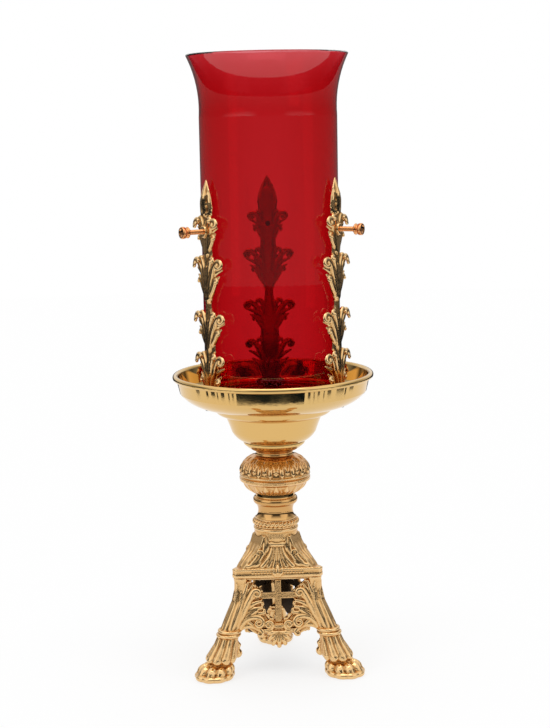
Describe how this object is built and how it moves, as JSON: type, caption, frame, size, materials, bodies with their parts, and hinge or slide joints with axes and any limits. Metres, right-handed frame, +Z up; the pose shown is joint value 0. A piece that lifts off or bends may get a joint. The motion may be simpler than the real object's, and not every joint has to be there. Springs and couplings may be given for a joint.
{
  "type": "sanctuary lamp",
  "caption": "Standing sanctuary lamp: a ruby glass globe held by leafy arms and thumb screws in a footed drip bowl, on a knop stem and an openwork tripod base with paw feet.",
  "frame": {"origin": "on the floor, on the lamp's vertical axis", "axes": "+Z up; the front face of the base and its cross face -Y; arms and legs stand at 90, 210 and 330 degrees from +X"},
  "size_m": [0.1666, 0.1666, 0.512],
  "materials": {
    "polished_gold": "spun and turned brass, gold plated, high polish",
    "cast_gold": "cast relief in brass, gold plated, bright on the high points and darker in the hollows",
    "ruby_glass": "clear ruby glass, smooth, fire-polished rim",
    "soft_tip": "dark matt rubber",
    "plain_steel": "zinc-plated steel, satin"
  },
  "bodies": {
    "frame": {"arm_front_left": "cast_gold", "arm_front_right": "cast_gold", "arm_rear": "cast_gold", "arm_screws": "plain_steel", "base_shell": "cast_gold", "bowl_cup": "polished_gold", "cross_front": "cast_gold", "cross_left_rear": "cast_gold", "cross_right_rear": "cast_gold", "cup_foot_ring": "polished_gold", "drip_bowl": "polished_gold", "knop_lower": "cast_gold", "knop_upper": "cast_gold", "leg_front_left": "cast_gold", "leg_front_right": "cast_gold", "leg_rear": "cast_gold", "leg_screws": "plain_steel", "lower_nut": "plain_steel", "lower_washer": "plain_steel", "neck_sleeve": "polished_gold", "panel_front": "cast_gold", "panel_left_rear": "cast_gold", "panel_right_rear": "cast_gold", "rope_collar": "cast_gold", "stem_spool": "polished_gold", "tie_rod": "plain_steel", "upper_nut": "plain_steel", "upper_washer": "plain_steel"},
    "globe": {"glass_globe": "ruby_glass"},
    "tip_front_left": {"thumb_screw_tip_front_left": "soft_tip"},
    "screw_front_left": {"thumb_screw_front_left": "polished_gold"},
    "tip_front_right": {"thumb_screw_tip_front_right": "soft_tip"},
    "screw_front_right": {"thumb_screw_front_right": "polished_gold"},
    "tip_rear": {"thumb_screw_tip_rear": "soft_tip"},
    "screw_rear": {"thumb_screw_rear": "polished_gold"}
  },
  "joints": [
    {"name": "globe_lift", "type": "slide", "parent": "frame", "child": "globe", "axis": [0, 0, 1], "range_m": [0, 0.2]},
    {"name": "tip_slide_front_left", "type": "slide", "parent": "frame", "child": "tip_front_left", "axis": [-0.866, -0.5, 0], "range_m": [0, 0.0059]},
    {"name": "screw_spin_front_left", "type": "hinge", "parent": "tip_front_left", "child": "screw_front_left", "pos_m": [-0.06062, -0.035, 0.3717], "axis": [-0.866, -0.5, 0], "range_deg": [0, 2700]},
    {"name": "tip_slide_front_right", "type": "slide", "parent": "frame", "child": "tip_front_right", "axis": [0.866, -0.5, 0], "range_m": [0, 0.0059]},
    {"name": "screw_spin_front_right", "type": "hinge", "parent": "tip_front_right", "child": "screw_front_right", "pos_m": [0.06062, -0.035, 0.3717], "axis": [0.866, -0.5, 0], "range_deg": [0, 2700]},
    {"name": "tip_slide_rear", "type": "slide", "parent": "frame", "child": "tip_rear", "axis": [0, 1, 0], "range_m": [0, 0.0059]},
    {"name": "screw_spin_rear", "type": "hinge", "parent": "tip_rear", "child": "screw_rear", "pos_m": [0, 0.07, 0.3717], "axis": [0, 1, 0], "range_deg": [0, 2700]}
  ],
  "couplings": [
    {"joint": "screw_spin_front_left", "follows": "tip_slide_front_left", "rad_per_m": 7915.8},
    {"joint": "screw_spin_front_right", "follows": "tip_slide_front_right", "rad_per_m": 7915.8},
    {"joint": "screw_spin_rear", "follows": "tip_slide_rear", "rad_per_m": 7915.8}
  ]
}
